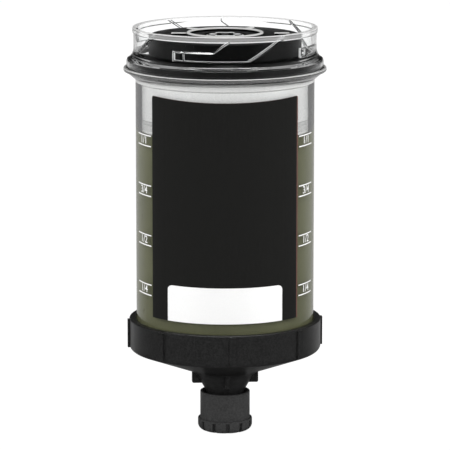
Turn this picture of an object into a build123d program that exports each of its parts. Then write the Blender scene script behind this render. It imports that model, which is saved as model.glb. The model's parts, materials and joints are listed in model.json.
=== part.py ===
from build123d import *
import math
import os

# Grease cartridge of an electromechanical automatic lubricator, in millimetres.
# It stands on its closing cap: Z runs up the cartridge's axis from the cap's bottom,
# and -Y is the side that carries the label.

# Reservoir: a clear tube that holds the grease column
tube_outer_r = 27.0
tube_wall = 1.67
floor_wall = 1.7
stroke = 60.3
end_gap = 4.7
head_room = 18.9
funnel_slope = 20.5

# Reservoir flange and the outlet spigot below the funnel
lower_flange_proud = 3.6
lower_flange_edge = 0.9
lower_flange_taper = 2.6
lower_flange_slant = 0.9
flange_edge_round = 0.3
spigot_r = 4.65
spigot_bore_r = 2.4
spigot_length = 4.4
spigot_round = 0.6
bowl_round = 0.5

# Seal between the reservoir's flange and the drive plate
collar_seal_inset = 0.1
collar_seal_section_r = 0.65

# Bayonet collar
collar_proud = 0.55
collar_wall = 1.35
collar_height = 12.1
upper_flange_proud = 2.15
upper_flange_height = 2.6
upper_flange_slant = 0.2
flare_height = 2.8
flare_mid = (0.62, 1.25)
lip_proud = 0.35
lip_height = 1.4
rim_chamfer = 0.3

# Bayonet grooves, seen from outside, with angles counted from the label's middle
groove_count = 4
groove_depth = 0.8
groove_entry_angles = (2.6, 43.0)
groove_run_angles = (-34.6, 15.6)
groove_turn_angle = -7.5
groove_run_height = 2.8
groove_run_drop = 7.6
detent_angle = -27.5
detent_arc = 1.7
detent_height = 0.45

# Drive plate: the black insert that closes the collar and carries the drive hub
plate_gap = 3.2
plate_wall = 1.5
plate_top_drop = 2.5
plate_thickness = 1.8
foot_rim_wall = 0.7
plate_foot_thickness = 2.0
plate_edge_round = 0.5
boss_wall = 3.2
boss_foot_drop = 7.5
plate_web_count = 8
plate_web_thickness = 1.2
locating_ring_gap = 2.3
locating_ring_width = 0.9
locating_ring_height = 1.0
raised_edge_chamfer = 0.2
arm_angles = (57.0, 136.0)
arm_length = 4.6
arm_width = 1.0
tab_places = (-13.9, 17.1)
tab_size = (4.6, 1.7, 0.7)

# Drive hub with its six-lobed socket
hub_r = 5.6
hub_proud = 0.2
hub_edge_chamfer = 0.25
hub_flange_width = 1.8
hub_flange_thickness = 1.2
hub_sleeve_step = 0.4
hub_sleeve_length = 4.2
socket_r = 3.5
socket_lobe_r = 1.0
socket_lobe_offset = 3.6
socket_lobe_count = 6
socket_depth = 7.0
socket_floor = 0.6
washer_thickness = 0.5
clip_thickness = 0.55
clip_groove_depth = 0.5
clip_width = 1.5
clip_gap_angle = 50.0
clip_lug_r = 0.75
clip_hole_r = 0.35
clip_recess_depth = 1.3

# Spindle that drives the piston
spindle_r = 3.5
spindle_square = 4.8
spindle_end_gap = 0.6
spindle_chamfer = 0.6

# Piston, its nut and seals
piston_top_gap = 0.6
piston_gap = 0.2
crown_thickness = 1.8
skirt_wall = 2.6
seal_groove_depth = 1.3
seal_groove_height = 3.0
seal_inset = 1.0
piston_boss_r = 7.9
piston_boss_height = 11.6
piston_web_count = 6
piston_web_thickness = 1.2
piston_web_height = 7.0
nut_across_flats = 10.0
nut_height = 7.6
wiper_r = 5.2
wiper_height = 2.2

# Label and printing on the tube
film_thickness = 0.12
print_thickness = 0.08
label_bottom_above_rim = 3.2
label_top_gap = 3.9
label_half_angle = 53.0
field_half_width = 17.1
field_height = 10.9
field_corner_r = 1.4
mark_angles = (54.7, 73.2)
mark_height = 0.34
mark_pair_gap = 3.15
quarter_count = 4

# Base cup: the black holder round the reservoir's foot, with the outlet thread
cup_wall = 2.1
cup_floor_thickness = 1.8
cup_rim_above_floor = 9.4
cup_rim_round = 0.4
cup_bottom_round = 1.5
cup_rib_count = 8
cup_rib_angle = 4.5
cup_rib_width = 2.0
cup_rib_proud = 0.6
cup_rib_inset = 0.4
bell_top_r = 9.32
bell_top_above_neck = 6.3
bell_blend_r = 7.0
neck_r = 5.8
web_r = 10.15
web_drop = 3.75
web_thickness = 1.5
web_count = 4
web_corner_r = 0.5
outlet_seal_section_r = 0.5

# Outlet thread, a quarter-inch pipe size, drawn as its outside diameter
thread_r = 6.58
thread_length = 8.3
thread_chamfer = 0.6
thread_relief = 0.7
outlet_bore_r = 3.0

# Closing cap
cap_sleeve_r = 7.6
cap_crown_r = 8.3
cap_crown_height = 3.8
cap_height = 12.1
cap_floor = 2.2
cap_corner_r = 1.9
cap_bore_gap = 0.25
cap_grip_gap = 0.05
cap_grip_count = 6
cap_grip_width = 0.9
cap_slit_count = 12
cap_slit_angle = 6.0
cap_slit_width = 1.1
cap_slit_top_gap = 0.55
cap_slit_floor_r = (6.5, 7.55)
cap_seal_r = 6.1
cap_seal_thickness = 0.8

# Fits
running_gap = 0.08
seal_gap = 0.05
face_gap = 0.05
static_gap = 0.1
grease_gap = 0.1

# Radii worked out from the tube
tube_inner_r = tube_outer_r - tube_wall
cup_inner_r = tube_outer_r + static_gap
cup_outer_r = cup_inner_r + cup_wall
lower_flange_r = tube_outer_r + lower_flange_proud
flange_underside_r = lower_flange_r - lower_flange_slant
collar_seal_r = tube_outer_r - collar_seal_inset
collar_outer_r = tube_outer_r + collar_proud
collar_inner_r = collar_outer_r - collar_wall
upper_flange_r = collar_outer_r + upper_flange_proud
upper_flange_base_r = upper_flange_r - upper_flange_slant
lip_r = collar_outer_r + lip_proud
plate_r = collar_inner_r - plate_gap
plate_foot_r = upper_flange_base_r - foot_rim_wall - static_gap
boss_r = hub_r + boss_wall
locating_ring_r = boss_r + locating_ring_gap
hub_flange_r = hub_r + hub_flange_width
hub_sleeve_r = hub_r + hub_sleeve_step

# Heights worked up from the cap's bottom
slope = math.tan(math.radians(funnel_slope))
slant = 1 / math.cos(math.radians(funnel_slope))
thread_end_z = cap_floor + cap_seal_thickness + static_gap
thread_top_z = thread_end_z + thread_length
neck_z = thread_top_z + thread_relief
bell_top_z = neck_z + bell_top_above_neck
cup_cone_z = bell_top_z - bell_top_r * slope
cup_inner_cone_z = cup_cone_z + cup_floor_thickness * slant
tube_cone_z = cup_inner_cone_z + static_gap
bowl_cone_z = tube_cone_z + floor_wall * slant
cup_corner_z = cup_cone_z + cup_outer_r * slope
cup_rim_z = cup_corner_z + cup_rim_above_floor
bowl_top_z = bowl_cone_z + tube_inner_r * slope
column_foot_z = bowl_top_z + bowl_round
grease_top_z = bowl_top_z + end_gap + stroke
joint_z = grease_top_z + head_room
collar_top_z = joint_z + collar_height
plate_top_z = collar_top_z - plate_top_drop
hub_top_z = plate_top_z + hub_proud
boss_foot_z = plate_top_z - boss_foot_drop
spigot_top_z = tube_cone_z + spigot_r * slope
spigot_end_z = spigot_top_z - spigot_length
spigot_seat_z = spigot_end_z - static_gap


def radial_plane(angle):
    """Upright half-plane at an angle counted from the label's middle, with x outward and y up."""
    turn = math.radians(angle - 90)
    outward = (math.cos(turn), math.sin(turn), 0)
    across = (math.sin(turn), -math.cos(turn), 0)
    return Plane(origin=(0, 0, 0), x_dir=outward, z_dir=across)


def facing_plane(angle):
    """Upright plane on the axis that faces outward at an angle counted from the label's middle."""
    turn = math.radians(angle - 90)
    return Plane(
        origin=(0, 0, 0),
        x_dir=(-math.sin(turn), math.cos(turn), 0),
        z_dir=(math.cos(turn), math.sin(turn), 0),
    )


def save(piece, name):
    """Name a finished piece and write it as its own file."""
    piece.part.label = name
    export_step(piece.part, f"parts/{name}.step")


os.makedirs("parts", exist_ok=True)

# Reservoir
flange_taper_z = joint_z - lower_flange_edge - lower_flange_taper
with BuildPart() as reservoir:
    with BuildSketch(Plane.XZ):
        with BuildLine():
            FilletPolyline(
                (spigot_bore_r, spigot_end_z),
                (spigot_r, spigot_end_z),
                (spigot_r, spigot_top_z),
                (tube_outer_r, tube_cone_z + tube_outer_r * slope),
                (tube_outer_r, flange_taper_z),
                (flange_underside_r, joint_z - lower_flange_edge - flange_edge_round),
                (lower_flange_r, joint_z - lower_flange_edge),
                (lower_flange_r, joint_z),
                (tube_inner_r, joint_z),
                (tube_inner_r, bowl_top_z),
                (spigot_bore_r, bowl_cone_z + spigot_bore_r * slope),
                radius=[
                    0, 0, spigot_round, 1.0, 0.8, 0.5, 0.2, flange_edge_round, 0.2, bowl_round, 0.5,
                ],
                close=True,
            )
        make_face()
    revolve(axis=Axis.Z)
    # groove in the top face for the collar seal
    with BuildSketch(Plane.XY.offset(joint_z)):
        Circle(collar_seal_r + collar_seal_section_r)
        Circle(collar_seal_r - collar_seal_section_r, mode=Mode.SUBTRACT)
    extrude(amount=-2 * collar_seal_section_r, mode=Mode.SUBTRACT)
    # groove round the spigot for the outlet seal
    outlet_seal_z = spigot_end_z + spigot_length / 2
    outlet_seal_r = spigot_r + static_gap - outlet_seal_section_r
    with BuildSketch(Plane.XY.offset(outlet_seal_z - outlet_seal_section_r)):
        Circle(spigot_r + static_gap)
        Circle(outlet_seal_r - outlet_seal_section_r, mode=Mode.SUBTRACT)
    extrude(amount=2 * outlet_seal_section_r, mode=Mode.SUBTRACT)
save(reservoir, "reservoir")

with BuildPart() as collar_seal:
    with BuildSketch(Plane.XZ):
        with Locations((collar_seal_r, joint_z - collar_seal_section_r)):
            Circle(collar_seal_section_r - seal_gap / 2)
    revolve(axis=Axis.Z)
save(collar_seal, "collar_seal")

with BuildPart() as outlet_seal:
    with BuildSketch(Plane.XZ):
        with Locations((outlet_seal_r, outlet_seal_z)):
            Circle(outlet_seal_section_r - seal_gap / 2)
    revolve(axis=Axis.Z)
save(outlet_seal, "outlet_seal")

# Bayonet collar
flange_top_z = joint_z + upper_flange_height
foot_recess_z = joint_z + plate_foot_thickness + face_gap
groove_r = collar_inner_r + groove_depth
run_bottom_z = collar_top_z - groove_run_drop
run_top_z = run_bottom_z + groove_run_height

with BuildPart() as bayonet_groove:
    # entry that leads a lug down from the rim
    entry_middle = sum(groove_entry_angles) / 2

    def across(angle):
        """Distance from the entry's middle line of a point on the groove's floor."""
        return groove_r * math.sin(math.radians(angle - entry_middle))

    with BuildSketch(facing_plane(entry_middle)):
        with BuildLine():
            Polyline(
                (across(groove_turn_angle), run_top_z),
                (across(groove_entry_angles[0]), collar_top_z - lip_height),
                (across(groove_entry_angles[0]), collar_top_z + rim_chamfer),
                (across(groove_entry_angles[1]), collar_top_z + rim_chamfer),
                (across(groove_entry_angles[1]), collar_top_z),
                (across(groove_run_angles[1]), run_bottom_z),
                (across(groove_turn_angle), run_bottom_z),
                close=True,
            )
        make_face()
    extrude(amount=groove_r)
    with BuildSketch(Plane.XY.offset(run_bottom_z)):
        Circle(groove_r)
        Circle(collar_inner_r - rim_chamfer, mode=Mode.SUBTRACT)
    extrude(amount=collar_height, mode=Mode.INTERSECT)
    # level run that the lug turns along
    with BuildSketch(radial_plane(groove_run_angles[0])):
        with Locations((collar_inner_r - rim_chamfer, run_bottom_z)):
            Rectangle(groove_depth + rim_chamfer, groove_run_height, align=(Align.MIN, Align.MIN))
    revolve(axis=Axis.Z, revolution_arc=groove_run_angles[1] - groove_run_angles[0])
    # low bump that the lug snaps over
    with BuildSketch(radial_plane(detent_angle - detent_arc / 2)):
        with Locations((groove_r, run_bottom_z)):
            Rectangle(detent_height, groove_run_height, align=(Align.MAX, Align.MIN))
    revolve(axis=Axis.Z, revolution_arc=detent_arc, mode=Mode.SUBTRACT)

with BuildPart() as bayonet_collar:
    with BuildSketch(Plane.XZ):
        with BuildLine():
            flare = ThreePointArc(
                (upper_flange_base_r, flange_top_z),
                (collar_outer_r + flare_mid[0], flange_top_z + flare_mid[1]),
                (collar_outer_r, flange_top_z + flare_height),
            )
            Polyline(
                flare @ 1,
                (collar_outer_r, collar_top_z - lip_height - rim_chamfer),
                (lip_r, collar_top_z - lip_height),
                (lip_r, collar_top_z - rim_chamfer / 2),
                (lip_r - rim_chamfer / 2, collar_top_z),
                (collar_inner_r + rim_chamfer, collar_top_z),
                (collar_inner_r, collar_top_z - rim_chamfer),
                (collar_inner_r, foot_recess_z),
                (plate_foot_r + static_gap, foot_recess_z),
                (plate_foot_r + static_gap, joint_z),
                (upper_flange_base_r, joint_z),
                (upper_flange_r, joint_z + upper_flange_height / 3),
                (upper_flange_r, flange_top_z - upper_flange_height / 4),
                flare @ 0,
            )
        make_face()
    revolve(axis=Axis.Z)
    with PolarLocations(0, groove_count):
        add(bayonet_groove.part, mode=Mode.SUBTRACT)
save(bayonet_collar, "bayonet_collar")

# Drive plate
plate_under_z = plate_top_z - plate_thickness
foot_top_z = joint_z + plate_foot_thickness
clip_floor_z = plate_top_z - clip_recess_depth
clip_r = hub_r - clip_groove_depth + clip_width
with BuildPart() as drive_plate:
    with BuildSketch(Plane.XZ):
        with BuildLine():
            FilletPolyline(
                (hub_r + running_gap, boss_foot_z),
                (boss_r, boss_foot_z),
                (boss_r, plate_under_z),
                (plate_r - plate_wall, plate_under_z),
                (plate_r - plate_wall, joint_z),
                (plate_foot_r, joint_z),
                (plate_foot_r, foot_top_z),
                (plate_r, foot_top_z),
                (plate_r, plate_top_z),
                (hub_r + running_gap, plate_top_z),
                radius=[0, 0.3, 0.5, 0.5, 0, 0, 0.2, 0.4, plate_edge_round, 0],
                close=True,
            )
        make_face()
    revolve(axis=Axis.Z)
    # webs from the boss to the wall, under the top
    with PolarLocations(0, plate_web_count):
        with Locations(((boss_r + plate_r - plate_wall) / 2, 0, (boss_foot_z + plate_under_z) / 2)):
            Box(
                plate_r - plate_wall / 2 - boss_r,
                plate_web_thickness,
                plate_under_z - boss_foot_z,
            )
    # raised ring and its two arms
    with BuildSketch(Plane.XY.offset(plate_top_z)):
        for arm_angle in arm_angles:
            with PolarLocations(locating_ring_r, 1, start_angle=arm_angle):
                Rectangle(arm_length, arm_width, align=(Align.MIN, Align.CENTER))
        Circle(locating_ring_r + locating_ring_width / 2)
        Circle(locating_ring_r - locating_ring_width / 2, mode=Mode.SUBTRACT)
    extrude(amount=locating_ring_height)
    # coding tabs
    for tab_x in tab_places:
        with Locations((tab_x, 0, plate_top_z)):
            Box(*tab_size, align=(Align.CENTER, Align.CENTER, Align.MIN))
    for raised_height in (locating_ring_height, tab_size[2]):
        raised_z = plate_top_z + raised_height
        raised_edges = drive_plate.edges().filter_by_position(Axis.Z, raised_z, raised_z)
        chamfer(raised_edges, raised_edge_chamfer)
    # recess for the retaining clip
    with Locations((0, 0, clip_floor_z)):
        Cylinder(
            clip_r + 4 * running_gap,
            clip_recess_depth,
            align=(Align.CENTER, Align.CENTER, Align.MIN),
            mode=Mode.SUBTRACT,
        )
save(drive_plate, "drive_plate")

# Drive hub
washer_top_z = boss_foot_z - face_gap
washer_bottom_z = washer_top_z - washer_thickness
hub_flange_z = washer_bottom_z - face_gap
hub_foot_z = hub_flange_z - hub_sleeve_length
clip_z = clip_floor_z + face_gap
square_top_z = hub_top_z - socket_depth - socket_floor
with BuildPart() as drive_hub:
    with BuildSketch(Plane.XZ):
        with BuildLine():
            Polyline(
                (0, hub_foot_z),
                (hub_sleeve_r, hub_foot_z),
                (hub_sleeve_r, hub_flange_z - hub_flange_thickness),
                (hub_flange_r, hub_flange_z - hub_flange_thickness),
                (hub_flange_r, hub_flange_z),
                (hub_r, hub_flange_z),
                (hub_r, clip_z),
                (hub_r - clip_groove_depth, clip_z),
                (hub_r - clip_groove_depth, clip_z + clip_thickness),
                (hub_r, clip_z + clip_thickness),
                (hub_r, hub_top_z - hub_edge_chamfer),
                (hub_r - hub_edge_chamfer, hub_top_z),
                (0, hub_top_z),
                close=True,
            )
        make_face()
    revolve(axis=Axis.Z)
    with BuildSketch(Plane.XY.offset(hub_top_z)):
        Circle(socket_r)
        with PolarLocations(socket_lobe_offset, socket_lobe_count):
            Circle(socket_lobe_r)
    extrude(amount=-socket_depth, mode=Mode.SUBTRACT)
    with BuildSketch(Plane.XY.offset(hub_foot_z)):
        RectangleRounded(spindle_square + seal_gap, spindle_square + seal_gap, spindle_square / 10)
    extrude(amount=square_top_z - hub_foot_z, mode=Mode.SUBTRACT)
save(drive_hub, "drive_hub")

with BuildPart() as thrust_washer:
    with BuildSketch(Plane.XY.offset(washer_bottom_z)):
        Circle(hub_flange_r)
        Circle(hub_r + running_gap, mode=Mode.SUBTRACT)
    extrude(amount=washer_thickness)
save(thrust_washer, "thrust_washer")

with BuildPart() as retaining_clip:
    with BuildSketch(Plane.XY.offset(clip_z)):
        Circle(clip_r)
        Circle(hub_r - clip_groove_depth + face_gap, mode=Mode.SUBTRACT)
        with BuildLine():
            clip_reach = 2 * clip_r
            half_gap = math.radians(clip_gap_angle / 2)
            gap_corner = (clip_reach * math.cos(half_gap), clip_reach * math.sin(half_gap))
            Polyline((0, 0), gap_corner, (gap_corner[0], -gap_corner[1]), close=True)
        make_face(mode=Mode.SUBTRACT)
        lug_turn = half_gap + clip_lug_r / (clip_r - clip_lug_r)
        for side in (1, -1):
            lug = (
                (clip_r - clip_lug_r) * math.cos(lug_turn),
                side * (clip_r - clip_lug_r) * math.sin(lug_turn),
            )
            with Locations(lug):
                Circle(clip_hole_r, mode=Mode.SUBTRACT)
    extrude(amount=clip_thickness - face_gap)
save(retaining_clip, "retaining_clip")

# Spindle
spindle_end_z = column_foot_z + spindle_end_gap
with BuildPart() as spindle:
    with Locations((0, 0, spindle_end_z)):
        Cylinder(
            spindle_r,
            hub_foot_z - spindle_end_z,
            align=(Align.CENTER, Align.CENTER, Align.MIN),
        )
    chamfer(spindle.edges().sort_by(Axis.Z)[0], spindle_chamfer)
    with BuildSketch(Plane.XY.offset(hub_foot_z)):
        RectangleRounded(spindle_square, spindle_square, spindle_square / 8)
    extrude(amount=square_top_z - face_gap - hub_foot_z)
save(spindle, "spindle")

# Piston
piston_r = tube_inner_r - piston_gap
piston_top_z = joint_z - piston_top_gap
skirt_inner_r = piston_r - skirt_wall
boss_top_z = grease_top_z + piston_boss_height
nut_top_z = boss_top_z
nut_bottom_z = nut_top_z - nut_height
wiper_bottom_z = nut_bottom_z - face_gap - wiper_height
groove_floor_r = piston_r - seal_groove_depth
seal_zs = (
    grease_top_z + seal_inset,
    piston_top_z - seal_inset - seal_groove_height,
)
with BuildPart() as piston:
    with BuildSketch(Plane.XZ):
        with BuildLine():
            FilletPolyline(
                (spindle_r + piston_gap, grease_top_z),
                (piston_r, grease_top_z),
                (piston_r, piston_top_z),
                (skirt_inner_r, piston_top_z),
                (skirt_inner_r, grease_top_z + crown_thickness),
                (piston_boss_r, grease_top_z + crown_thickness),
                (piston_boss_r, boss_top_z),
                (spindle_r + piston_gap, boss_top_z),
                radius=[0, 0.4, 0.4, 0.4, 1.0, 0.6, 0.3, 0],
                close=True,
            )
        make_face()
    revolve(axis=Axis.Z)
    # webs between the boss and the skirt
    with PolarLocations(0, piston_web_count):
        with Locations(((piston_boss_r + skirt_inner_r) / 2, 0, grease_top_z + crown_thickness / 2)):
            Box(
                skirt_inner_r - piston_boss_r + 1,
                piston_web_thickness,
                piston_web_height,
                align=(Align.CENTER, Align.CENTER, Align.MIN),
            )
    # grooves for the two seals
    for seal_z in seal_zs:
        with BuildSketch(Plane.XY.offset(seal_z)):
            Circle(tube_inner_r)
            Circle(groove_floor_r, mode=Mode.SUBTRACT)
        extrude(amount=seal_groove_height, mode=Mode.SUBTRACT)
    # pockets for the nut and, below it, the spindle wiper
    with BuildSketch(Plane.XY.offset(nut_bottom_z - face_gap)):
        RegularPolygon(nut_across_flats / 2 + static_gap, 6, major_radius=False)
    extrude(amount=nut_height + 1, mode=Mode.SUBTRACT)
    with BuildSketch(Plane.XY.offset(wiper_bottom_z)):
        Circle(wiper_r)
    extrude(amount=wiper_height + face_gap, mode=Mode.SUBTRACT)
save(piston, "piston")

seal_names = ("piston_seal_lower", "piston_seal_upper")
for seal_name, seal_z in zip(seal_names, seal_zs):
    with BuildPart() as piston_seal:
        with BuildSketch(Plane.XZ):
            with BuildLine():
                # a lip seal: two lips on a solid back
                seal_middle_z = seal_z + seal_groove_height / 2
                Polyline(
                    (groove_floor_r + face_gap, seal_z + face_gap),
                    (piston_r - piston_gap, seal_z + face_gap),
                    (tube_inner_r - seal_gap, seal_z + 2 * face_gap),
                    (tube_inner_r - seal_gap, seal_z + seal_groove_height / 4),
                    (piston_r - piston_gap, seal_middle_z),
                    (tube_inner_r - seal_gap, seal_z + seal_groove_height * 3 / 4),
                    (tube_inner_r - seal_gap, seal_z + seal_groove_height - 2 * face_gap),
                    (piston_r - piston_gap, seal_z + seal_groove_height - face_gap),
                    (groove_floor_r + face_gap, seal_z + seal_groove_height - face_gap),
                    close=True,
                )
            make_face()
        revolve(axis=Axis.Z)
    save(piston_seal, seal_name)

with BuildPart() as spindle_nut:
    with BuildSketch(Plane.XY.offset(nut_bottom_z)):
        RegularPolygon(nut_across_flats / 2, 6, major_radius=False)
        Circle(spindle_r + running_gap, mode=Mode.SUBTRACT)
    extrude(amount=nut_height)
save(spindle_nut, "spindle_nut")

with BuildPart() as spindle_wiper:
    with BuildSketch(Plane.XY.offset(wiper_bottom_z)):
        Circle(wiper_r - face_gap)
        Circle(spindle_r + running_gap, mode=Mode.SUBTRACT)
    extrude(amount=wiper_height)
save(spindle_wiper, "spindle_wiper")

# Grease: the column that the piston pushes out, and what stays in the funnel
grease_r = tube_inner_r - grease_gap
with BuildPart() as grease:
    with BuildSketch(Plane.XY.offset(column_foot_z)):
        Circle(grease_r)
        Circle(spindle_r + piston_gap, mode=Mode.SUBTRACT)
    extrude(amount=grease_top_z - column_foot_z - face_gap)
save(grease, "grease")

funnel_grease_cone_z = bowl_cone_z + grease_gap * slant
funnel_grease_r = (bowl_top_z - funnel_grease_cone_z) / slope
spigot_grease_r = spigot_bore_r - grease_gap
outlet_grease_r = outlet_bore_r - grease_gap
with BuildPart() as funnel_grease:
    with BuildSketch(Plane.XZ):
        with BuildLine():
            Polyline(
                (0, thread_end_z + grease_gap),
                (outlet_grease_r, thread_end_z + grease_gap),
                (outlet_grease_r, spigot_seat_z - grease_gap),
                (spigot_grease_r, spigot_seat_z),
                (spigot_grease_r, funnel_grease_cone_z + spigot_grease_r * slope),
                (funnel_grease_r, bowl_top_z),
                (funnel_grease_r, column_foot_z - face_gap),
                (0, column_foot_z - face_gap),
                close=True,
            )
        make_face()
    revolve(axis=Axis.Z)
save(funnel_grease, "funnel_grease")

# Base cup
cup_rib_z = (cup_corner_z + cup_rib_inset, cup_rim_z - cup_rib_inset)
web_z = bell_top_z - web_drop
web_root_z = cup_cone_z + cup_floor_thickness / 2
with BuildPart() as base_cup:
    with BuildSketch(Plane.XZ):
        with BuildLine():
            FilletPolyline(
                (outlet_bore_r, thread_end_z),
                (thread_r - thread_chamfer, thread_end_z),
                (thread_r, thread_end_z + thread_chamfer),
                (thread_r, thread_top_z),
                (neck_r, thread_top_z),
                (neck_r, neck_z),
                (bell_top_r, bell_top_z),
                (cup_outer_r, cup_corner_z),
                (cup_outer_r, cup_rim_z),
                (cup_inner_r, cup_rim_z),
                (cup_inner_r, cup_inner_cone_z + cup_inner_r * slope),
                (spigot_r + static_gap, cup_inner_cone_z + (spigot_r + static_gap) * slope),
                (spigot_r + static_gap, spigot_seat_z),
                (outlet_bore_r, spigot_seat_z),
                radius=[
                    0, 0, 0, 0, 0, 0, bell_blend_r, cup_bottom_round, cup_rim_round, cup_rim_round,
                    0, spigot_round, 0, 0,
                ],
                close=True,
            )
        make_face()
    revolve(axis=Axis.Z)
    # grip ribs round the wall
    with PolarLocations(cup_outer_r - 1, cup_rib_count, start_angle=cup_rib_angle - 90):
        with Locations((0, 0, cup_rib_z[0])):
            Box(
                1 + cup_rib_proud,
                cup_rib_width,
                cup_rib_z[1] - cup_rib_z[0],
                align=(Align.MIN, Align.CENTER, Align.MIN),
            )
    # webs under the floor, from the bell outwards
    for web_index in range(web_count):
        with BuildSketch(radial_plane(cup_rib_angle + 360 / web_count * web_index)):
            with BuildLine():
                FilletPolyline(
                    (neck_r, web_z),
                    (web_r, web_z),
                    (web_r, web_root_z + web_r * slope),
                    (neck_r, web_root_z + neck_r * slope),
                    radius=[0, web_corner_r, 0, 0],
                    close=True,
                )
            make_face()
        extrude(amount=web_thickness / 2, both=True)
save(base_cup, "base_cup")

# Label, the field for writing on it, and the fill marks beside it
label_bottom_z = cup_rim_z + label_bottom_above_rim
label_height = flange_taper_z - label_top_gap - label_bottom_z
with BuildPart() as label:
    with BuildSketch(radial_plane(-label_half_angle)):
        with Locations((tube_outer_r, label_bottom_z)):
            Rectangle(film_thickness, label_height, align=(Align.MIN, Align.MIN))
    revolve(axis=Axis.Z, revolution_arc=2 * label_half_angle)
    with BuildSketch(facing_plane(0)) as field_window:
        with Locations((0, label_bottom_z)):
            Rectangle(2 * field_half_width, field_height, align=(Align.CENTER, Align.MIN))
        fillet(field_window.vertices().group_by(Axis.Y)[-1], field_corner_r)
    extrude(amount=2 * tube_outer_r, mode=Mode.SUBTRACT)
save(label, "label")

with BuildPart() as writing_field:
    with BuildSketch(radial_plane(-label_half_angle)):
        with Locations((tube_outer_r, label_bottom_z)):
            Rectangle(print_thickness, label_height, align=(Align.MIN, Align.MIN))
    revolve(axis=Axis.Z, revolution_arc=2 * label_half_angle)
    with BuildSketch(facing_plane(0)) as field_shape:
        with Locations((0, label_bottom_z)):
            Rectangle(2 * field_half_width, field_height, align=(Align.CENTER, Align.MIN))
        fillet(field_shape.vertices().group_by(Axis.Y)[-1], field_corner_r)
    extrude(amount=2 * tube_outer_r, mode=Mode.INTERSECT)
save(writing_field, "writing_field")

mark_arc = mark_angles[1] - mark_angles[0]
with BuildPart() as fill_marks:
    for mark_start in (mark_angles[0], -mark_angles[1]):
        with BuildSketch(radial_plane(mark_start)):
            for quarter in range(quarter_count):
                mark_z = grease_top_z - stroke / quarter_count * quarter
                with Locations((tube_outer_r, mark_z), (tube_outer_r, mark_z - mark_pair_gap)):
                    Rectangle(print_thickness, mark_height, align=(Align.MIN, Align.CENTER))
        revolve(axis=Axis.Z, revolution_arc=mark_arc)
save(fill_marks, "fill_marks")

# Closing cap
cap_bore_r = thread_r + cap_bore_gap
with BuildPart() as outlet_cap:
    with BuildSketch(Plane.XZ):
        with BuildLine():
            FilletPolyline(
                (0, 0),
                (cap_crown_r, 0),
                (cap_crown_r, cap_crown_height),
                (cap_sleeve_r, cap_crown_height),
                (cap_sleeve_r, cap_height),
                (cap_bore_r, cap_height),
                (cap_bore_r, cap_floor),
                (0, cap_floor),
                radius=[0, cap_corner_r, 0.3, 0.15, 0.2, 0.2, 0, 0],
                close=True,
            )
        make_face()
    revolve(axis=Axis.Z)
    # slits up the crown, with a slanted floor
    for slit in range(cap_slit_count):
        with BuildSketch(radial_plane(cap_slit_angle + 360 / cap_slit_count * slit)):
            with BuildLine():
                slit_top_z = cap_crown_height - cap_slit_top_gap
                Polyline(
                    (cap_slit_floor_r[0], -1),
                    (cap_crown_r + 1, -1),
                    (cap_crown_r + 1, slit_top_z),
                    (cap_slit_floor_r[1], slit_top_z),
                    (cap_slit_floor_r[0], 0),
                    close=True,
                )
            make_face()
        extrude(amount=cap_slit_width / 2, both=True, mode=Mode.SUBTRACT)
    # grip ribs inside the sleeve, against the thread's crests
    with PolarLocations(thread_r + cap_grip_gap, cap_grip_count):
        with Locations((0, 0, cap_floor)):
            Box(
                cap_bore_gap + (cap_sleeve_r - cap_bore_r) / 2,
                cap_grip_width,
                thread_length,
                align=(Align.MIN, Align.CENTER, Align.MIN),
            )
save(outlet_cap, "outlet_cap")

with BuildPart() as cap_seal:
    with Locations((0, 0, cap_floor)):
        Cylinder(cap_seal_r, cap_seal_thickness, align=(Align.CENTER, Align.CENTER, Align.MIN))
save(cap_seal, "cap_seal")
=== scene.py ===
import json
import math

import bmesh
import bpy
from mathutils import Matrix, Vector


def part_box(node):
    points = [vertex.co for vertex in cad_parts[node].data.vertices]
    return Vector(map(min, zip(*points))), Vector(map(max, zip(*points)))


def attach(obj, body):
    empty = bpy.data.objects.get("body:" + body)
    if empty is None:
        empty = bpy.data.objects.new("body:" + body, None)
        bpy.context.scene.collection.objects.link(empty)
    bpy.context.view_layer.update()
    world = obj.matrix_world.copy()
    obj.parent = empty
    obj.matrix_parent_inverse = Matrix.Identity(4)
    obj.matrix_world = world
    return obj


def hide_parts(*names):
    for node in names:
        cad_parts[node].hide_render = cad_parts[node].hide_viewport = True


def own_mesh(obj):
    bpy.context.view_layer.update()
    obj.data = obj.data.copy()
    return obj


# The clear grease cartridge of an automatic lubricator, standing on its closing cap. Z runs
# up the cartridge's axis, and -Y is the side with the label. Blender works in metres. Names
# that end in _z are heights in metres, and profiles and outlines are in millimetres.
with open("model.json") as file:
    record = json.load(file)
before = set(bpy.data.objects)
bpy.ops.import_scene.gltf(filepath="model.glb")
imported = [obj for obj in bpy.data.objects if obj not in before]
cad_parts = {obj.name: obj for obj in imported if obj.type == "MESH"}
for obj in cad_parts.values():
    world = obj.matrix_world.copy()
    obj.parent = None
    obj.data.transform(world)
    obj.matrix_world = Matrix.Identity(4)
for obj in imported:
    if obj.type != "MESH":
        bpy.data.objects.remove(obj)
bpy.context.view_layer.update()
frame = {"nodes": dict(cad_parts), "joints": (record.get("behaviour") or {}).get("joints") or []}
nodes = frame["nodes"]
MM = 0.001

joint_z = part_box("reservoir")[1].z
rim_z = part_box("bayonet_collar")[1].z
hub_top_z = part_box("drive_hub")[1].z
label_half_width, label_top_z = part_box("label")[1].x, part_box("label")[1].z
# How much higher the label's top edge is at its corners
label_rise = 0.93 * MM


# Materials

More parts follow.
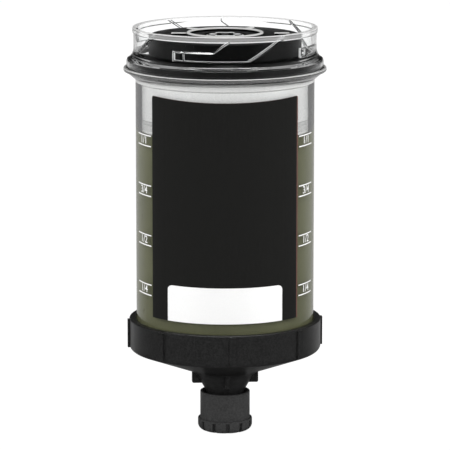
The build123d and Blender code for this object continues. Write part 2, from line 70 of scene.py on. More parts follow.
class Socket:
    """A value in a node tree. An operator on it adds a Math node."""

    def __init__(self, owner, socket):
        self.owner = owner
        self.socket = socket

    def math(self, operation, *values, clamp=False):
        return self.owner.add(
            "ShaderNodeMath", {"operation": operation, "use_clamp": clamp}, *values,
        )

    def __add__(self, other):
        return self.math("ADD", self, other)

    def __radd__(self, other):
        return self.math("ADD", other, self)

    def __sub__(self, other):
        return self.math("SUBTRACT", self, other)

    def __rsub__(self, other):
        return self.math("SUBTRACT", other, self)

    def __mul__(self, other):
        return self.math("MULTIPLY", self, other)

    def __truediv__(self, other):
        return self.math("DIVIDE", self, other)

    def __gt__(self, other):
        return self.math("GREATER_THAN", self, other)

    def __lt__(self, other):
        return self.math("LESS_THAN", self, other)

    def __abs__(self):
        return self.math("ABSOLUTE", self)

    def clamped(self):
        """The value held between 0 and 1."""
        return self.math("ADD", self, 0.0, clamp=True)

    def step(self, low, high):
        """0 below low, 1 above high, smooth between them."""
        return self.owner.add(
            "ShaderNodeMapRange", {"interpolation_type": "SMOOTHSTEP"}, self, low, high, 0.0, 1.0,
        )


class NodeTree:
    """A node tree, and the ways to add to it."""

    def __init__(self, tree, coordinates):
        self.tree = tree
        self.place = self.add("ShaderNodeTexCoord", {}, output=coordinates)

    def add(self, kind, settings, *values, output=None, **named):
        """Adds a node: its settings first, then its inputs by order or by name."""
        node = self.tree.nodes.new(kind)
        for key, value in settings.items():
            setattr(node, key, value)
        pairs = list(zip([socket for socket in node.inputs if socket.enabled], values))
        pairs += [(node.inputs[key.replace("_", " ")], value) for key, value in named.items()]
        for socket, value in pairs:
            if isinstance(value, Socket):
                self.tree.links.new(value.socket, socket)
            else:
                socket.default_value = value
        first = next(socket for socket in node.outputs if socket.enabled)
        return Socket(self, node.outputs[output] if output else first)

    def noise(self, scale, detail=2.0, roughness=0.5):
        """Noise from 0 to 1, with about as many spots in a metre as the scale says."""
        return self.add(
            "ShaderNodeTexNoise", {}, output="Fac",
            Vector=self.place, Scale=scale, Detail=detail, Roughness=roughness,
        )

    def mix(self, factor, first, second):
        """A colour between two colours."""
        colors = [color if isinstance(color, Socket) else (*color, 1) for color in (first, second)]
        return self.add("ShaderNodeMix", {"data_type": "RGBA"}, factor, *colors)

    def vector(self, operation, *values, output="Vector"):
        return self.add("ShaderNodeVectorMath", {"operation": operation}, *values, output=output)

    def part(self, axis, vector=None):
        """One coordinate of a vector, or else of the place."""
        return self.add("ShaderNodeSeparateXYZ", {}, vector or self.place, output=axis)

    def flat_place(self):
        """The place without its height, which points straight out from the axis."""
        return self.vector("MULTIPLY", self.place, (1, 1, 0))

    def radius(self):
        """The distance from the axis."""
        return self.vector("LENGTH", self.flat_place(), output="Value")

    def geometry(self, output):
        return self.add("ShaderNodeNewGeometry", {}, output=output)

    def ray(self, output):
        return self.add("ShaderNodeLightPath", {}, output=output)


class Finish(NodeTree):
    """A material with one Principled node, and the nodes that feed it."""

    def __init__(self, name, color, roughness, **settings):
        self.material = bpy.data.materials.new(name)
        self.material.use_nodes = True
        super().__init__(self.material.node_tree, "Object")
        self.principled = self.tree.nodes["Principled BSDF"]
        self.surface = Socket(self, self.principled.outputs["BSDF"])
        self.principled.inputs["Base Color"].default_value = (*color, 1)
        self.principled.inputs["Roughness"].default_value = roughness
        for label, value in settings.items():
            self.principled.inputs[label.replace("_", " ")].default_value = value

    def feed(self, label, value):
        """Links a value to an input of the Principled node."""
        self.tree.links.new(value.socket, self.principled.inputs[label])

    def bump(self, height, distance, strength=1.0):
        """Raises the surface by height times distance."""
        self.feed("Normal", self.add(
            "ShaderNodeBump", {}, Height=height, Distance=distance, Strength=strength,
        ))

    def blend(self, factor, first, second):
        """Shows a surface between two surfaces."""
        surface = self.add("ShaderNodeMixShader", {}, factor, first, second)
        output = self.tree.nodes["Material Output"]
        self.tree.links.new(surface.socket, output.inputs["Surface"])


def moulded(name, color, roughness, grain=0.35, mottle=0.5, **settings):
    """Satin moulded plastic: a mottled tone, a fine eroded grain and faint handling marks."""
    finish = Finish(name, color, roughness, **settings)
    cloud = finish.noise(60.0, 3.0)
    fine = finish.noise(1900.0, 4.0, 0.7)
    marks = finish.noise(420.0, 4.0, 0.65)
    dark = [part * (1.0 - mottle) for part in color]
    light = [min(0.95, part * (1.0 + mottle)) for part in color]
    spots = (cloud * 0.2 + fine.step(0.35, 0.65) * 0.8).clamped()
    finish.tone = finish.mix(spots, dark, light)
    finish.feed("Base Color", finish.tone)
    finish.feed("Roughness", (marks - 0.5) * 0.16 + (fine - 0.5) * 0.1 + roughness)
    finish.bump(fine, 0.06 * MM * grain)
    return finish


def clear_moulded(name, bands):
    """Clear plastic with the slight waviness of a moulded wall.

    Its bands of painted highlight, a pale surface mixed into the clear wall, are given by their
    lowest and highest height and their inner radius, in metres, and by how much of the painted
    highlight shows.
    """
    tint, roughness = (0.985, 0.99, 0.99), 0.015
    painted_highlight_color, painted_highlight_roughness, seen_from_inside = (0.93, 0.93, 0.925, 1), 0.35, 0.25
    finish = Finish(name, tint, roughness, IOR=1.49, Transmission_Weight=1.0)
    waves = finish.noise(45.0, 1.0)
    flow = finish.noise(900.0, 2.0)
    finish.feed("Roughness", (waves - 0.5) * 0.02 + flow * 0.012 + roughness)
    finish.bump(waves, 0.08 * MM)
    height, radius = finish.part("Z"), finish.radius()
    soft_foot, soft_top = 0.2 * MM, 0.1 * MM
    share = 0.0
    for low, high, inner, amount in bands:
        band = height.step(low, low + soft_foot) * (1.0 - height.step(high - soft_top, high))
        share = share + band * (radius > inner) * amount
    share = share * (1.0 - finish.geometry("Backfacing") * (1.0 - seen_from_inside))
    # A pale surface mixed into the clear wall: the painted highlight in the bands
    painted_highlight_surface = finish.add(
        "ShaderNodeBsdfPrincipled", {}, Base_Color=painted_highlight_color, Roughness=painted_highlight_roughness,
    )
    wall = finish.add("ShaderNodeMixShader", {}, share.clamped(), finish.surface, painted_highlight_surface)
    # The lamps reach what the wall encloses
    through = finish.add("ShaderNodeBsdfTransparent", {}, (*[part ** 0.5 for part in tint], 1))
    finish.blend(finish.ray("Is Shadow Ray"), wall, through)
    return finish


def turned_metal(name, color, roughness, line_scale):
    """Turned metal with fine lines round the axis and faint stains."""
    finish = Finish(name, color, roughness, Metallic=1.0)
    lines = finish.add(
        "ShaderNodeTexNoise", {"noise_dimensions": "1D"}, output="Fac",
        W=finish.part("Z") * line_scale, Detail=2.0,
    )
    stain = finish.noise(300.0, 3.0)
    finish.feed("Base Color", finish.mix(stain, [part * 0.85 for part in color], color))
    finish.feed("Roughness", (lines - 0.5) * 0.2 + (stain - 0.5) * 0.12 + roughness)
    finish.bump(lines, 0.006 * MM)
    return finish


# Painted highlight bands at the tube's flange and on the collar's rim
clear_plastic = clear_moulded("clear_plastic", (
    (joint_z - 0.3 * MM, joint_z + 0.2 * MM, 29.9 * MM, 0.6),
    (joint_z - 1.3 * MM, joint_z - 0.3 * MM, 29.3 * MM, 0.12),
    (joint_z - 3.6 * MM, joint_z - 1.3 * MM, 27.2 * MM, 0.03),
))
collar_plastic = clear_moulded("collar_plastic", (
    (rim_z - 1.4 * MM, rim_z - 0.3 * MM, 27.1 * MM, 0.3),
    (rim_z - 0.3 * MM, rim_z + 1.0 * MM, 25.5 * MM, 0.95),
))
black_plastic = moulded("black_plastic", (0.0175, 0.0175, 0.0175), 0.36)
cap_plastic = moulded("cap_plastic", (0.045, 0.045, 0.045), 0.46, mottle=0.3)
natural_plastic = moulded("natural_plastic", (0.82, 0.82, 0.81), 0.38, 0.2, 0.06)
seal_rubber = moulded("seal_rubber", (0.012, 0.012, 0.012), 0.55)
pale_rubber = moulded("pale_rubber", (0.62, 0.62, 0.61), 0.5, mottle=0.1)
spindle_steel = turned_metal("spindle_steel", (0.56, 0.56, 0.55), 0.3, 9000.0)
washer_steel = turned_metal("washer_steel", (0.22, 0.22, 0.225), 0.36, 6000.0)
nut_brass = turned_metal("nut_brass", (0.72, 0.52, 0.24), 0.28, 7000.0)

# The black insert, with a painted highlight on its chamfers and on the tops of its ring and arms
insert_plastic = moulded("insert_plastic", (0.002, 0.0022, 0.0021), 0.42, Specular_IOR_Level=0.12)
plate_top_z = hub_top_z - 0.2 * MM
height = insert_plastic.part("Z")
facing_up = insert_plastic.part("Z", insert_plastic.geometry("True Normal"))
chamfers = (facing_up > 0.3) * (facing_up < 0.95) * (height > plate_top_z - 0.4 * MM)
raised = height > plate_top_z + 0.55 * MM
painted_edge_highlight = ((chamfers + raised) * (insert_plastic.radius() < 20.0 * MM)).clamped()
# Pale painted highlight where the chamfers face up and on the raised tops
insert_plastic.feed("Base Color", insert_plastic.mix(
    painted_edge_highlight * 0.9, insert_plastic.tone, (0.8, 0.8, 0.79),
))

# Soft grease, with streaks and slow swirls
grease_color = (0.13, 0.134, 0.074)
grease_green = Finish("grease_green", grease_color, 0.3)
streaks = grease_green.noise(140.0, 4.0, 0.6)
swirl = grease_green.noise(35.0, 2.0)
grease_green.feed("Base Color", grease_green.mix(
    (streaks * 0.5 + swirl * 0.5).step(0.3, 0.7),
    [part * 0.9 for part in grease_color], [part * 1.1 for part in grease_color],
))
grease_green.feed("Roughness", streaks * 0.16 + 0.22)
grease_green.bump(streaks, 0.1 * MM, 0.6)

# Painted highlights: pale beads along the grooves' edges stand in for the light that the edges
# catch, with painted shade on their inward faces near the rim, seen from inside the collar
edge_highlight_paint = Finish("edge_highlight_paint", (0.8, 0.81, 0.81), 0.35, IOR=1.49)
cloud = edge_highlight_paint.noise(400.0, 2.0)
outward = edge_highlight_paint.vector(
    "DOT_PRODUCT", edge_highlight_paint.geometry("True Normal"), edge_highlight_paint.flat_place(),
    output="Value",
)
near_rim = (edge_highlight_paint.part("Z") > rim_z - 4.4 * MM) * (edge_highlight_paint.radius() > 20.0 * MM)
# Pale for the painted highlight, dark on inward faces near the rim for the painted shade
edge_highlight_paint.feed("Base Color", edge_highlight_paint.mix(
    (outward < 0.0) * near_rim,
    edge_highlight_paint.mix(cloud, (0.74, 0.75, 0.75), (0.92, 0.93, 0.93)), (0.02, 0.02, 0.02),
))
edge_highlight_paint.feed("Roughness", cloud * 0.2 + 0.25)

# The label's film, with a reddish painted highlight on its cut edge at its right side and faintly
# along its top
label_black = Finish("label_black", (0.0125, 0.0125, 0.0118), 0.42, Specular_IOR_Level=0.35)
film_waves = label_black.noise(90.0, 2.0)
film_grain = label_black.noise(3600.0, 2.0)
film_tone = label_black.mix(film_grain, (0.0115, 0.0115, 0.0108), (0.0135, 0.0135, 0.0128))
across = label_black.part("X") / label_half_width
right_edge = across > 1.0 - 0.3 * MM / label_half_width
top_edge = label_black.part("Z") - across * across * label_rise > label_top_z - 0.2 * MM
# Reddish painted highlight on the cut edge, strong at the right side and faint along the top
label_black.feed("Base Color", label_black.mix(
    (right_edge + top_edge * 0.15).clamped() * 0.6, film_tone, (0.24, 0.11, 0.09),
))
label_black.feed("Roughness", (film_waves - 0.5) * 0.08 + (film_grain - 0.5) * 0.06 + 0.42)
label_black.bump(film_waves * 0.8 + film_grain * 0.2, 0.03 * MM)

print_white = Finish("print_white", (0.94, 0.94, 0.935), 0.5)
ink = print_white.noise(2600.0, 2.0)
print_white.feed("Base Color", print_white.mix(ink, (0.91, 0.91, 0.905), (0.97, 0.97, 0.965)))
print_white.feed("Roughness", ink * 0.12 + 0.44)
print_white.bump(ink, 0.008 * MM)

finishes = {
    "reservoir": clear_plastic, "bayonet_collar": collar_plastic,
    "collar_seal": seal_rubber, "outlet_seal": seal_rubber, "cap_seal": seal_rubber,
    "drive_plate": insert_plastic, "drive_hub": insert_plastic, "base_cup": black_plastic,
    "outlet_cap": cap_plastic, "thrust_washer": washer_steel, "retaining_clip": washer_steel,
    "spindle": spindle_steel, "spindle_nut": nut_brass, "piston": natural_plastic,
    "piston_seal_lower": pale_rubber, "piston_seal_upper": pale_rubber,
    "spindle_wiper": pale_rubber, "funnel_grease": grease_green, "label": label_black,
    "writing_field": print_white, "fill_marks": print_white, "grease": grease_green,
}
for name, finish in finishes.items():
    nodes[name].data.materials.clear()
    nodes[name].data.materials.append(finish.material)


# Pieces

def placed(name, data):
    """A new object in the scene."""
    thing = bpy.data.objects.new(name, data)
    bpy.context.scene.collection.objects.link(thing)
    return thing


def finished(mesh, name, finish, body, smooth=True, angle=30.0):
    """Turns a bmesh into a piece that rides on a body."""
    data = bpy.data.meshes.new(name)
    mesh.to_mesh(data)
    mesh.free()
    data.materials.append(finish.material)
    piece = placed(name, data)
    if smooth:
        data.shade_smooth()
        data.set_sharp_from_angle(angle=math.radians(angle))
    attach(piece, body)
    return piece


def surface_of(name, data):
    """A bmesh of the surface that a curve or a text makes."""
    thing = placed(name, data)
    bpy.context.view_layer.update()
    mesh = bmesh.new()
    mesh.from_mesh(bpy.data.meshes.new_from_object(thing))
    bpy.data.objects.remove(thing)
    return mesh


def spun(profile, steps):
    """A closed (radius, height) profile, spun round the axis.

    One quarter is spun and then copied, which is much faster than a whole turn.
    """
    mesh = bmesh.new()
    ring = [mesh.verts.new((r * MM, 0, z * MM)) for r, z in profile]
    edges = [mesh.edges.new(pair) for pair in zip(ring, ring[1:] + ring[:1])]
    bmesh.ops.spin(
        mesh, geom=ring + edges, cent=(0, 0, 0), axis=(0, 0, 1), angle=math.pi / 2,
        steps=steps // 4,
    )
    quarter = mesh.verts[:] + mesh.edges[:] + mesh.faces[:]
    for turn in (1, 2, 3):
        copy = bmesh.ops.duplicate(mesh, geom=quarter)["geom"]
        bmesh.ops.rotate(
            mesh, verts=[part for part in copy if isinstance(part, bmesh.types.BMVert)],
            cent=(0, 0, 0), matrix=Matrix.Rotation(turn * math.pi / 2, 3, "Z"),
        )
    bmesh.ops.remove_doubles(mesh, verts=mesh.verts, dist=2e-6)
    bmesh.ops.dissolve_degenerate(mesh, edges=mesh.edges, dist=1e-7)
    bmesh.ops.recalc_face_normals(mesh, faces=mesh.faces)
    return mesh


def turned(profile, name, finish, body, steps=160, angle=30.0):
    """A piece made by spinning a closed (radius, height) profile."""
    return finished(spun(profile, steps), name, finish, body, angle=angle)


def rounded(corners, steps=5):
    """A closed profile from (radius, height, rounding) corners."""
    points = []
    for index, (x, y, radius) in enumerate(corners):
        corner = Vector((x, y))
        if radius == 0:
            points.append((x, y))
            continue
        before = (Vector(corners[index - 1][:2]) - corner).normalized()
        after = (Vector(corners[(index + 1) % len(corners)][:2]) - corner).normalized()
        half = before.angle(after) / 2
        centre = corner + (before + after).normalized() * (radius / math.sin(half))
        start = corner + before * (radius / math.tan(half)) - centre
        turn = start.angle_signed(corner + after * (radius / math.tan(half)) - centre)
        for step in range(steps + 1):
            point = centre + Matrix.Rotation(-turn * step / steps, 2) @ start
            points.append((point.x, point.y))
    return points


def sides(outline):
    """The (start, end) pairs of a closed outline's sides."""
    return zip(outline, outline[1:] + outline[:1])


def edge_distance(x, y, outline):
    """The distance from a point to an outline, below 0 inside it."""
    nearest, inside = math.inf, False
    for (ax, ay), (bx, by) in sides(outline):
        length = math.hypot(bx - ax, by - ay)
        along = ((x - ax) * (bx - ax) + (y - ay) * (by - ay)) / length ** 2
        along = min(1.0, max(0.0, along))
        nearest = min(nearest, math.dist((x, y), (ax + along * (bx - ax), ay + along * (by - ay))))
        if (ay > y) != (by > y) and x < (bx - ax) * (y - ay) / (by - ay) + ax:
            inside = not inside
    return -nearest if inside else nearest


def smooth_step(value):
    """0 below 0, 1 above 1, smooth between them."""
    value = min(1.0, max(0.0, value))
    return value * value * (3 - 2 * value)


def place_at(angle, radius, height):
    """The place at an angle from the front, a radius and a height."""
    return Vector((radius * math.sin(angle), -radius * math.cos(angle), height))


def flat_radius(vertex):
    """A vertex's distance from the axis in millimetres."""
    return math.hypot(vertex.co.x, vertex.co.y) / MM


def pull_to(vertex, radius):
    """Moves a vertex straight out or in, to a radius in millimetres."""
    share = radius / flat_radius(vertex)
    vertex.co.x *= share
    vertex.co.y *= share


# The clear tube, with its funnel floor and its flange
joint = joint_z / MM
tube_r, tube_bore, flange_r = 27.0, 25.33, 30.6
spigot_r, spigot_bore, spigot_groove_r = 4.65, 2.4, 3.75
seal_groove_r, seal_groove_bore, seal_groove_depth = 27.55, 26.25, 1.3
spigot_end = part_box("reservoir")[0].z / MM
bowl_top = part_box("grease")[0].z / MM - 0.5
slope = math.tan(math.radians(20.5))
under_cone = spigot_end + 4.4 - spigot_r * slope
bowl_cone = bowl_top - tube_bore * slope
tube = turned(rounded([
    # The spigot and its seal groove
    (spigot_bore, spigot_end, 0), (spigot_r, spigot_end, 0),
    (spigot_r, spigot_end + 1.7, 0), (spigot_groove_r, spigot_end + 1.7, 0),
    (spigot_groove_r, spigot_end + 2.7, 0), (spigot_r, spigot_end + 2.7, 0),
    # The funnel from below, the wall and the flange
    (spigot_r, spigot_end + 4.4, 0.6), (tube_r, under_cone + tube_r * slope, 1.0),
    (tube_r, joint - 3.5, 0.8), (29.7, joint - 1.2, 0.25),
    (flange_r, joint - 0.9, 0.2), (flange_r, joint, 0.3),
    # The seal groove in the flange
    (seal_groove_r, joint, 0.08), (seal_groove_r, joint - seal_groove_depth, 0.1),
    (seal_groove_bore, joint - seal_groove_depth, 0.1), (seal_groove_bore, joint, 0.08),
    # The bore and the funnel
    (tube_bore, joint, 0.2), (tube_bore, bowl_top, 0.5),
    (spigot_bore, bowl_cone + spigot_bore * slope, 0.5),
]), "reservoir_tube", clear_plastic, "housing", steps=256, angle=60.0)
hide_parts("reservoir")

# The collar. Its inner wall has rows of points, which the grooves push outwards
rim = rim_z / MM
wall_r, collar_r, rim_r, foot_bore = 26.2, 27.55, 27.9, 28.8
foot_recess, flange_top = joint + 2.05, joint + 2.6
outside = rounded([
    # The flange
    (foot_bore, joint, 0), (29.5, joint, 0.15), (29.7, joint + 0.87, 0.4),
    (29.7, flange_top - 0.65, 0.3), (29.5, flange_top, 0.2), (28.62, flange_top + 0.6, 0.5),
    (28.0, flange_top + 1.5, 0.8), (collar_r, flange_top + 2.8, 1.5),
    # The outer wall and the thicker rim
    (collar_r, rim - 1.7, 0.15), (rim_r, rim - 1.4, 0.12), (rim_r, rim, 0.25),
    # The inner wall and the recess over the tube's flange
    (wall_r, rim, 0.3), (wall_r, foot_recess, 0.2), (foot_bore, foot_recess, 0.1),
])
# The inner wall starts where the rim's rounding ends
split = next(index for index, (r, z) in enumerate(outside) if r < wall_r + 0.01)
wall_rows = 56
wall_top = outside[split][1]
wall_step = (foot_recess + 0.2 - wall_top) / wall_rows
wall = [(wall_r, wall_top + wall_step * row) for row in range(1, wall_rows)]
mesh = spun(outside[:split + 1] + wall + outside[split + 1:], 720)

# A groove's outline on the unrolled wall: millimetres sideways from its middle, and heights
arc = math.radians(wall_r)
stop_angle, detent_angle, upper_bend_angle, lower_bend_angle = -34.6, -27.5, -7.5, 15.6
mouth_start_angle, mouth_end_angle = 2.6, 43.0
run_bottom, run_top = rim - 7.6, rim - 4.8
groove_cut, groove_edge_width, detent_rise = 0.8, 0.4, 0.45
groove_outline = [
    (stop_angle * arc, run_bottom), (lower_bend_angle * arc, run_bottom),
    (mouth_end_angle * arc, rim), (mouth_end_angle * arc, rim + 4),
    (mouth_start_angle * arc, rim + 4), (mouth_start_angle * arc, rim - 1.4),
    (upper_bend_angle * arc, run_top), (stop_angle * arc, run_top),
]


def groove_depth(angle, z):
    """How far a groove goes into the wall at an angle in degrees, less its detent."""
    depth = 0.0
    for near_angle in (angle - 90.0, angle, angle + 90.0):
        side = edge_distance(near_angle * arc, z, groove_outline)
        depth = max(depth, groove_cut * smooth_step(0.5 - side / groove_edge_width))
        if side < 0:
            depth -= detent_rise * smooth_step((1.1 - abs(near_angle - detent_angle)) / 0.5)
    return depth


depths = {}
inside_r = 27.0
for vertex in mesh.verts:
    r, z = flat_radius(vertex), vertex.co.z / MM
    if r > inside_r or z < foot_recess + 0.5:
        continue
    # Four grooves share one quarter's angles, from -45 to 45 degrees
    angle = (math.degrees(math.atan2(vertex.co.x, -vertex.co.y)) + 45.0) % 90.0 - 45.0
    spot = (round(angle, 2), round(z, 3))
    if spot not in depths:
        depths[spot] = groove_depth(angle, z)
    if depths[spot] > 0:
        pull_to(vertex, max(r, wall_r + depths[spot]))
collar = finished(mesh, "collar_ring", collar_plastic, "housing", angle=80.0)
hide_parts("bayonet_collar")


def beads(name, strands, closed=False):
    """A bmesh of thin round beads along strands of (place, thickness) points."""
    bead_r = 0.13
    curve = bpy.data.curves.new(name, "CURVE")
    curve.dimensions = "3D"
    curve.bevel_depth = bead_r * MM
    curve.bevel_resolution = 2
    for strand in strands:
        spline = curve.splines.new("POLY")
        spline.points.add(len(strand) - 1)
        spline.use_cyclic_u = closed
        for point, (place, thickness) in zip(spline.points, strand):
            point.co = (*place, 1)
            point.radius = thickness
    return surface_of(name, curve)


def stretch(start, end, longest=0.8):
    """Points from a start up to an end, closer together than the longest gap or so."""
    pieces = max(1, round(math.dist(start, end) / longest))
    return [
        (start[0] + (end[0] - start[0]) * piece / pieces,
         start[1] + (end[1] - start[1]) * piece / pieces)
        for piece in range(pieces)
    ]


# Painted highlights along the grooves' edges: the outline, the detent and a second line beside the
# long slant.
# A point's third number is the bead's thickness there
below_rim = rim - 0.2
# The line starts after its gap at the rim
after_gap = groove_outline[4:] + groove_outline[:4]
outline_line = [
    (x, y, 2.8 if x < (stop_angle + 0.1) * arc else 1.0)
    for start, end in sides(after_gap) for x, y in stretch(start, end) if y < below_rim
]
detent_line = [
    ((detent_angle + 0.1) * arc, run_bottom + (run_top - run_bottom) * row / 4, 1.4)
    for row in range(5)
]
slant_points = stretch(groove_outline[1], groove_outline[2])[1:]
slant_line = [(x - 1.0, y, 0.8) for x, y in slant_points if y < below_rim]
for index in range(4):
    mesh = beads("groove_edge", [
        [
            (place_at(x / wall_r + index * math.pi / 2, (wall_r + 0.02) * MM, y * MM), thickness)
            for x, y, thickness in line
        ]
        for line in (outline_line, detent_line, slant_line)
    ])
    finished(mesh, f"groove_edge_{index}", edge_highlight_paint, "housing")

# Painted highlight along the edge of the hub's six-lobed socket
socket_r, lobe_r, lobe_offset, socket_points = 3.5, 1.0, 3.6, 120
lobe_angle = 2 * math.pi / 6
socket_edge = []
for index in range(socket_points):
    turn = 2 * math.pi * index / socket_points
    from_lobe = (turn + lobe_angle / 2) % lobe_angle - lobe_angle / 2
    reach = lobe_r ** 2 - (lobe_offset * math.sin(from_lobe)) ** 2
    lobe = lobe_offset * math.cos(from_lobe) + math.sqrt(reach) if reach > 0 else 0.0
    radius = max(socket_r, lobe) * MM
    socket_edge.append(((radius * math.cos(turn), radius * math.sin(turn), hub_top_z), 1.0))
mesh = beads("socket_edge", [socket_edge], closed=True)
finished(mesh, "socket_edge", edge_highlight_paint, "spindle")

# The label's film, whose top edge rises a little towards its rounded corners
film = bmesh.new()
film.from_mesh(nodes["label"].data)
bmesh.ops.remove_doubles(film, verts=film.verts, dist=1e-7)
bmesh.ops.dissolve_limit(film, angle_limit=math.radians(0.2), verts=film.verts, edges=film.edges)
for vertex in film.verts:
    if vertex.co.z > label_top_z - 1e-6:
        vertex.co.z += label_rise * (vertex.co.x / label_half_width) ** 2
# Two short edges run through the film at its upper corners
corner_edges = [
    edge for edge in film.edges
    if edge.calc_length() < 0.2 * MM
    and all(end.co.z > label_top_z + label_rise * 0.9 for end in edge.verts)
]
bmesh.ops.bevel(
    film, geom=corner_edges, offset=0.8 * MM, segments=4, profile=0.5, material=-1,
    affect="EDGES",
)
label_film = finished(film, "label_film", label_black, "housing")
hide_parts("label")

# The piston's upper lip seal, pressed against the wall
lip_low, lip_high = (corner.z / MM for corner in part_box("piston_seal_upper"))
lip_root, lip_shoulder, lip_r = 24.0, 25.0, 25.42
lip_seal = turned(rounded([
    (lip_root, lip_low, 0), (lip_shoulder, lip_low, 0.1), (lip_r, lip_low + 0.3, 0.1),
    (lip_r, lip_high - 0.2, 0.1), (lip_shoulder, lip_high, 0.1), (lip_root, lip_high, 0),
]), "upper_lip_seal", natural_plastic, "piston", steps=192, angle=50.0)
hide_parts("piston_seal_upper")


def threaded(name, finish, body, crest, root, pitch, low, high, run_out, bore=0.0):
    """A bar or sleeve with a trapezoidal thread that runs out at both ends."""
    rows_in_a_turn, root_share, flank_share, plain_end = 12, 0.25, 0.5, 0.1
    rows = round((high - low) / pitch * rows_in_a_turn)
    side = [(crest, low + (high - low) * row / rows) for row in range(rows + 1)]
    mesh = spun([(bore, low)] + side + [(bore, high)], 72)
    for vertex in mesh.verts:
        if flat_radius(vertex) < crest - 0.01:
            continue
        z = vertex.co.z / MM
        turns = z / pitch - math.atan2(vertex.co.y, vertex.co.x) / (2 * math.pi)
        from_root = abs(turns % 1.0 - 0.5) * 2
        tooth = min(1.0, max(0.0, (from_root - root_share) / flank_share))
        tooth *= smooth_step((min(z - low, high - z) - plain_end) / run_out)
        pull_to(vertex, root + (crest - root) * tooth)
    return finished(mesh, name, finish, body, angle=50.0)


# The spindle's thread, and its square end in the hub
bar_foot, bar_end = (corner.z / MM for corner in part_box("spindle"))
bar_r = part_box("spindle")[1].x / MM
square_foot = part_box("drive_hub")[0].z / MM
thread_depth, spindle_lead, square_half = 0.75, 3.0, 2.4
bar = threaded(
    "spindle_thread", spindle_steel, "spindle", bar_r, bar_r - thread_depth,
    spindle_lead, bar_foot, square_foot, 0.8,
)
square = bmesh.new()
bmesh.ops.create_cube(square, size=1.0)
for vertex in square.verts:
    vertex.co = MM * Vector((
        math.copysign(square_half, vertex.co.x), math.copysign(square_half, vertex.co.y),
        bar_end if vertex.co.z > 0 else square_foot,
    ))
upright_edges = [
    edge for edge in square.edges if abs(edge.verts[0].co.z - edge.verts[1].co.z) > 0.1 * MM
]
bmesh.ops.bevel(
    square, geom=upright_edges, offset=0.5 * MM, segments=3, profile=0.5, material=-1,
    affect="EDGES",
)
shank = finished(square, "spindle_square", spindle_steel, "spindle")
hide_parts("spindle")
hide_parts("spindle")

# The cup's own faces, with the stub drawn in under its outlet thread
cup = bmesh.new()
cup.from_mesh(nodes["base_cup"].data)
thread_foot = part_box("base_cup")[0].z / MM
thread_top = thread_foot + 8.3
outlet_r, outlet_root, outlet_pitch, outlet_bore, stub_r = 6.58, 5.78, 1.337, 5.5, 5.6
for vertex in cup.verts:
    if vertex.co.z / MM < thread_top + 0.01 and flat_radius(vertex) > 5.0:
        pull_to(vertex, stub_r)
cup_body = finished(cup, "cup_body", black_plastic, "housing")
outlet = threaded(
    "outlet_thread", black_plastic, "housing", outlet_r, outlet_root,
    outlet_pitch, thread_foot + 0.05, thread_top, 0.7, bore=outlet_bore,
)
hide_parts("base_cup")
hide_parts("base_cup")

# The grease column wets the wall
column_foot, column_top = (corner.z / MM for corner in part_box("grease"))
column_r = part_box("grease")[1].x / MM + 0.12
column_bore = bar_r + 0.2
column = turned([
    (column_bore, column_foot), (column_r, column_foot), (column_r, column_top),
    (column_bore, column_top),
], "grease_column", grease_green, "housing")
travel = next(
    slide["range_m"][1] / MM for slide in frame["joints"] if slide["name"] == "piston_travel"
)
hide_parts("grease")
(column_top - travel - column_foot) / (column_top - column_foot)
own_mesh(column)

# Fractions between the fill marks, on both sides of the label
marks_low_z, marks_high_z = (corner.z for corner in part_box("fill_marks"))
line_height, pair_gap = 0.17, 3.15
first_to_last = (marks_high_z - marks_low_z) / MM - pair_gap - 2 * line_height
letter_height, letter_stretch, letter_r = 3.1, 1.12, tube_r + 0.05
for side, side_angle in (("left", -63.9), ("right", 63.9)):
    for index, words in enumerate(("1/1", "3/4", "1/2", "1/4")):
        text = bpy.data.curves.new("fraction", "FONT")
        text.body = words
        text.size = letter_height * MM
        text.offset = 0.025 * MM
        text.align_x = "CENTER"
        text.align_y = "CENTER"
        text.resolution_u = 6
        mesh = surface_of("fraction", text)
        bmesh.ops.subdivide_edges(mesh, edges=mesh.edges, cuts=1)
        middle_z = marks_high_z - (line_height + pair_gap / 2 + index * first_to_last / 3) * MM
        for vertex in mesh.verts:
            angle = math.radians(side_angle) + vertex.co.x * letter_stretch / (tube_r * MM)
            vertex.co = place_at(angle, letter_r * MM, middle_z + vertex.co.y)
        finished(
            mesh, f"fraction_{words.replace('/', '_')}_{side}", print_white, "housing",
            smooth=False,
        )


# Stage, lamps and camera

# The floor and the sky look white, also through the clear walls. Rays that a surface mirrors,
# and rays that are folded, which is mirrored inside a clear wall, meet a dimmer floor that
# grows paler behind the object and at its sides
aim = (0, 0, 0.062)
white_level, seen_share = 1.12, 0.86
side_panel = 0.22
floor_mesh = bmesh.new()
bmesh.ops.create_grid(floor_mesh, x_segments=1, y_segments=1, size=6.0)
floor_data = bpy.data.meshes.new("floor")
floor_mesh.to_mesh(floor_data)
floor_mesh.free()
floor = placed("floor", floor_data)
paper = Finish("paper", (0.86, 0.86, 0.86), 0.7)
direction = paper.vector("NORMALIZE", paper.vector("SUBTRACT", paper.place, aim))
backward = paper.part("Y", direction)
sideways = abs(paper.part("X", direction))
through = paper.ray("Is Transmission Ray").clamped()
mirrored = paper.ray("Is Glossy Ray") * (1.0 - through)
folded = through * (paper.ray("Glossy Depth") > 0.5)
mirrored_level = backward.step(0.1, 0.8) * 0.47 + 0.05
folded_level = (
    backward.step(-0.2, 0.6) * 0.1 + paper.part("Y").step(0.525, 0.575) * 0.6
    + sideways.step(0.5, 0.9) * side_panel + 0.02
)
glow = paper.add(
    "ShaderNodeEmission", {}, (1, 1, 1, 1),
    mirrored * (mirrored_level - white_level) + folded * (folded_level - white_level)
    + (through - folded) * 0.16 + white_level,
)
straight = (paper.ray("Is Camera Ray") + through).clamped()
paper.blend(
    (straight * seen_share + folded * (1.0 - seen_share) + mirrored).clamped(), paper.surface,
    glow,
)
floor_data.materials.append(paper.material)

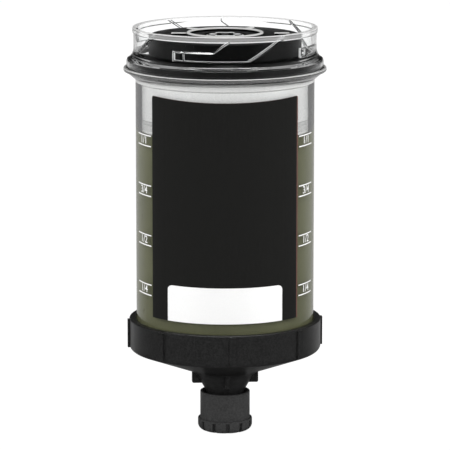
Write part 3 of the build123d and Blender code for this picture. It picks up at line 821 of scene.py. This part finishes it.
world = bpy.data.worlds.new("studio")
bpy.context.scene.world = world
world.use_nodes = True
# A world's Generated coordinates are the direction that a ray goes in
sky = NodeTree(world.node_tree, "Generated")
sky_through = sky.ray("Is Transmission Ray")
sky_folded = sky.ray("Glossy Depth") > 0.5
overhead = sky.part("Z").step(0.86, 0.95) * 5.0 + 0.02
around = sky.part("Y").step(0.3, 0.95) * 0.3 + abs(sky.part("X")).step(0.5, 0.9) * side_panel
sky_level = (
    sky.ray("Is Camera Ray")
    + sky_through * (1.0 - sky_folded) * 0.95
    + sky_through * sky_folded * (around + overhead + 0.15)
    + sky.ray("Is Glossy Ray") * (1.0 - sky_through) * overhead
    + sky.ray("Is Diffuse Ray") * 0.45
)
background = world.node_tree.nodes["Background"]
background.inputs["Color"].default_value = (1, 1, 1, 1)
world.node_tree.links.new(sky_level.socket, background.inputs["Strength"])


def lamp(name, place, size, power):
    """A soft rectangular lamp that faces the object and isn't mirrored in it."""
    data = bpy.data.lights.new(name, "AREA")
    data.shape = "RECTANGLE"
    data.size, data.size_y = size
    data.energy = power
    thing = placed(name, data)
    thing.location = place
    thing.visible_glossy = False
    thing.visible_transmission = False
    thing.rotation_euler = (Vector(aim) - Vector(place)).to_track_quat("-Z", "Y").to_euler()


lamp("side_left", (-0.75, -0.05, 0.25), (0.5, 0.7), 3.2)
lamp("side_right", (0.75, -0.05, 0.25), (0.5, 0.7), 3.2)
lamp("front_fill", (0.1, -0.97, 0.4), (0.8, 0.5), 4.7)

# The camera looks a little down on the label's side, from about a metre away
camera_data = bpy.data.cameras.new("camera")
camera_data.sensor_width = 36
camera_data.lens = 255.2
camera = placed("camera", camera_data)
camera_distance = 0.970
camera_pitch = math.radians(10.35)
camera_aim = Vector((0, 0, 0.06356))
camera_side = Vector((0, -math.cos(camera_pitch), math.sin(camera_pitch)))
camera.location = camera_aim + camera_distance * camera_side
camera.rotation_euler = (math.pi / 2 - camera_pitch, 0, 0)
bpy.context.scene.camera = camera
bpy.context.scene.view_settings.view_transform = "Standard"
